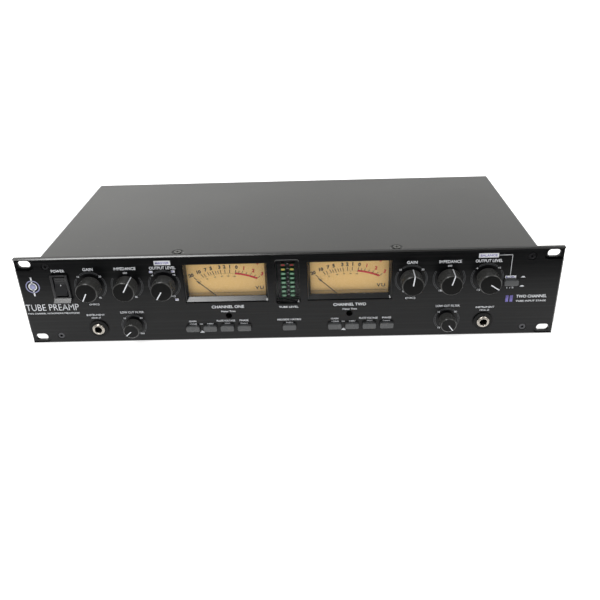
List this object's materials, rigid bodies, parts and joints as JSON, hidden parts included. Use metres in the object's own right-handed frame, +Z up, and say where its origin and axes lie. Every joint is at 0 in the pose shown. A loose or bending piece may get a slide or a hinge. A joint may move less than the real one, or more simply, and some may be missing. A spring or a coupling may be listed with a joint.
{
  "type": "rack preamplifier",
  "caption": "Two-channel rack preamplifier with rotary controls, push buttons, needle meters and a column of level lights on a black panel.",
  "frame": {"origin": "middle of the underside, at the centre of the bounding box from above", "axes": "+X to the right seen from the front, +Y from the front panel to the rear, +Z up"},
  "size_m": [0.4826, 0.207, 0.0881],
  "materials": {
    "panel_black": "black anodised, faint level brushing",
    "cover_black": "satin black paint",
    "sheet_steel": "plated sheet",
    "knob_black": "satin black",
    "pot_metal": "plain",
    "key_grey": "satin dark grey",
    "rocker_black": "semi-gloss black",
    "screw_black": "black oxide",
    "screw_steel": "worn plated steel",
    "case_black": "moulded black",
    "dial_cream": "matt cream card",
    "needle_dark": "dark lacquer",
    "window_clear": "clear moulding",
    "window_smoke": "smoked, polished",
    "circuit_board": "green solder mask",
    "winding": "varnished tape over copper and steel",
    "tube_glass": "clear",
    "trim_white": "natural nylon",
    "nickel": "nickel plated",
    "socket_black": "black chrome",
    "inlet_black": "moulded black"
  },
  "bodies": {
    "chassis": {"chassis_tray": "sheet_steel", "control_board": "circuit_board", "cover_screw_left": "screw_steel", "cover_screw_right": "screw_steel", "front_panel": "panel_black", "gain_pot_1": "pot_metal", "gain_pot_2": "pot_metal", "impedance_pot_1": "pot_metal", "impedance_pot_2": "pot_metal", "instrument_jack_1": "nickel", "instrument_jack_2": "nickel", "led_window": "window_smoke", "low_cut_pot_1": "pot_metal", "low_cut_pot_2": "pot_metal", "main_board": "circuit_board", "mains_inlet": "inlet_black", "meter_case_1": "case_black", "meter_case_2": "case_black", "meter_dial_1": "dial_cream", "meter_dial_2": "dial_cream", "meter_window_1": "window_clear", "meter_window_2": "window_clear", "output_pot_1": "pot_metal", "output_pot_2": "pot_metal", "panel_screw_left_lower": "screw_black", "panel_screw_left_upper": "screw_black", "panel_screw_right_lower": "screw_black", "panel_screw_right_upper": "screw_black", "power_transformer": "winding", "rocker_housing": "rocker_black", "top_cover": "cover_black", "tube_1": "tube_glass", "tube_2": "tube_glass", "xlr_input_1": "socket_black", "xlr_input_2": "socket_black", "xlr_output_1": "socket_black", "xlr_output_2": "socket_black"},
    "gain_knob_1": {"gain_knob_1": "knob_black"},
    "impedance_knob_1": {"impedance_knob_1": "knob_black"},
    "output_knob_1": {"output_knob_1": "knob_black"},
    "low_cut_knob_1": {"low_cut_knob_1": "knob_black"},
    "gain_knob_2": {"gain_knob_2": "knob_black"},
    "impedance_knob_2": {"impedance_knob_2": "knob_black"},
    "output_knob_2": {"output_knob_2": "knob_black"},
    "low_cut_knob_2": {"low_cut_knob_2": "knob_black"},
    "gain_boost_button_1": {"gain_boost_button_1": "key_grey"},
    "phantom_button_1": {"phantom_button_1": "key_grey"},
    "plate_voltage_button_1": {"plate_voltage_button_1": "key_grey"},
    "phase_button_1": {"phase_button_1": "key_grey"},
    "matrix_button": {"matrix_button": "key_grey"},
    "gain_boost_button_2": {"gain_boost_button_2": "key_grey"},
    "phantom_button_2": {"phantom_button_2": "key_grey"},
    "plate_voltage_button_2": {"plate_voltage_button_2": "key_grey"},
    "phase_button_2": {"phase_button_2": "key_grey"},
    "balance_button": {"balance_button": "key_grey"},
    "rocker_key": {"rocker_key": "rocker_black"},
    "meter_needle_1": {"meter_needle_1": "needle_dark"},
    "meter_needle_2": {"meter_needle_2": "needle_dark"},
    "trim_rotor_1": {"trim_rotor_1": "trim_white"},
    "trim_rotor_2": {"trim_rotor_2": "trim_white"}
  },
  "joints": [
    {"name": "gain_knob_1_turn", "type": "hinge", "parent": "chassis", "child": "gain_knob_1", "pos_m": [-0.1763, -0.09, 0.06], "axis": [0, 1, 0], "range_deg": [0, 304]},
    {"name": "impedance_knob_1_turn", "type": "hinge", "parent": "chassis", "child": "impedance_knob_1", "pos_m": [-0.1435, -0.09, 0.06], "axis": [0, 1, 0], "range_deg": [-182, 122]},
    {"name": "output_knob_1_turn", "type": "hinge", "parent": "chassis", "child": "output_knob_1", "pos_m": [-0.11, -0.09, 0.06], "axis": [0, 1, 0], "range_deg": [-4, 300]},
    {"name": "low_cut_knob_1_turn", "type": "hinge", "parent": "chassis", "child": "low_cut_knob_1", "pos_m": [-0.1435, -0.09, 0.0178], "axis": [0, 1, 0], "range_deg": [-20, 284]},
    {"name": "gain_knob_2_turn", "type": "hinge", "parent": "chassis", "child": "gain_knob_2", "pos_m": [0.1095, -0.09, 0.06], "axis": [0, 1, 0], "range_deg": [-159, 145]},
    {"name": "impedance_knob_2_turn", "type": "hinge", "parent": "chassis", "child": "impedance_knob_2", "pos_m": [0.1428, -0.09, 0.06], "axis": [0, 1, 0], "range_deg": [-167, 137]},
    {"name": "output_knob_2_turn", "type": "hinge", "parent": "chassis", "child": "output_knob_2", "pos_m": [0.1762, -0.09, 0.06], "axis": [0, 1, 0], "range_deg": [-276, 28]},
    {"name": "low_cut_knob_2_turn", "type": "hinge", "parent": "chassis", "child": "low_cut_knob_2", "pos_m": [0.1435, -0.09, 0.0178], "axis": [0, 1, 0], "range_deg": [-296, 8]},
    {"name": "gain_boost_button_1_press", "type": "slide", "parent": "chassis", "child": "gain_boost_button_1", "axis": [0, 1, 0], "range_m": [0, 0.003], "stiffness_N_per_m": 300},
    {"name": "phantom_button_1_press", "type": "slide", "parent": "chassis", "child": "phantom_button_1", "axis": [0, 1, 0], "range_m": [0, 0.003], "stiffness_N_per_m": 300},
    {"name": "plate_voltage_button_1_press", "type": "slide", "parent": "chassis", "child": "plate_voltage_button_1", "axis": [0, 1, 0], "range_m": [0, 0.003], "stiffness_N_per_m": 300},
    {"name": "phase_button_1_press", "type": "slide", "parent": "chassis", "child": "phase_button_1", "axis": [0, 1, 0], "range_m": [0, 0.003], "stiffness_N_per_m": 300},
    {"name": "matrix_button_press", "type": "slide", "parent": "chassis", "child": "matrix_button", "axis": [0, 1, 0], "range_m": [0, 0.003], "stiffness_N_per_m": 300},
    {"name": "gain_boost_button_2_press", "type": "slide", "parent": "chassis", "child": "gain_boost_button_2", "axis": [0, 1, 0], "range_m": [0, 0.003], "stiffness_N_per_m": 300},
    {"name": "phantom_button_2_press", "type": "slide", "parent": "chassis", "child": "phantom_button_2", "axis": [0, 1, 0], "range_m": [0, 0.003], "stiffness_N_per_m": 300},
    {"name": "plate_voltage_button_2_press", "type": "slide", "parent": "chassis", "child": "plate_voltage_button_2", "axis": [0, 1, 0], "range_m": [0, 0.003], "stiffness_N_per_m": 300},
    {"name": "phase_button_2_press", "type": "slide", "parent": "chassis", "child": "phase_button_2", "axis": [0, 1, 0], "range_m": [0, 0.003], "stiffness_N_per_m": 300},
    {"name": "balance_button_press", "type": "slide", "parent": "chassis", "child": "balance_button", "axis": [0, 1, 0], "range_m": [0, 0.003], "stiffness_N_per_m": 300},
    {"name": "rocker_key_rock", "type": "hinge", "parent": "chassis", "child": "rocker_key", "pos_m": [-0.2028, -0.087, 0.06], "axis": [1, 0, 0], "range_deg": [0, 24]},
    {"name": "meter_needle_1_swing", "type": "hinge", "parent": "chassis", "child": "meter_needle_1", "pos_m": [-0.0552, -0.0799, 0.031], "axis": [0, 1, 0], "range_deg": [0, 93], "stiffness_Nm_per_rad": 0.0002},
    {"name": "meter_needle_2_swing", "type": "hinge", "parent": "chassis", "child": "meter_needle_2", "pos_m": [0.0552, -0.0799, 0.031], "axis": [0, 1, 0], "range_deg": [0, 93], "stiffness_Nm_per_rad": 0.0002},
    {"name": "trim_rotor_1_turn", "type": "hinge", "parent": "chassis", "child": "trim_rotor_1", "pos_m": [-0.055, -0.0817, 0.0262], "axis": [0, 1, 0], "range_deg": [-135, 135]},
    {"name": "trim_rotor_2_turn", "type": "hinge", "parent": "chassis", "child": "trim_rotor_2", "pos_m": [0.055, -0.0817, 0.0262], "axis": [0, 1, 0], "range_deg": [-135, 135]}
  ]
}
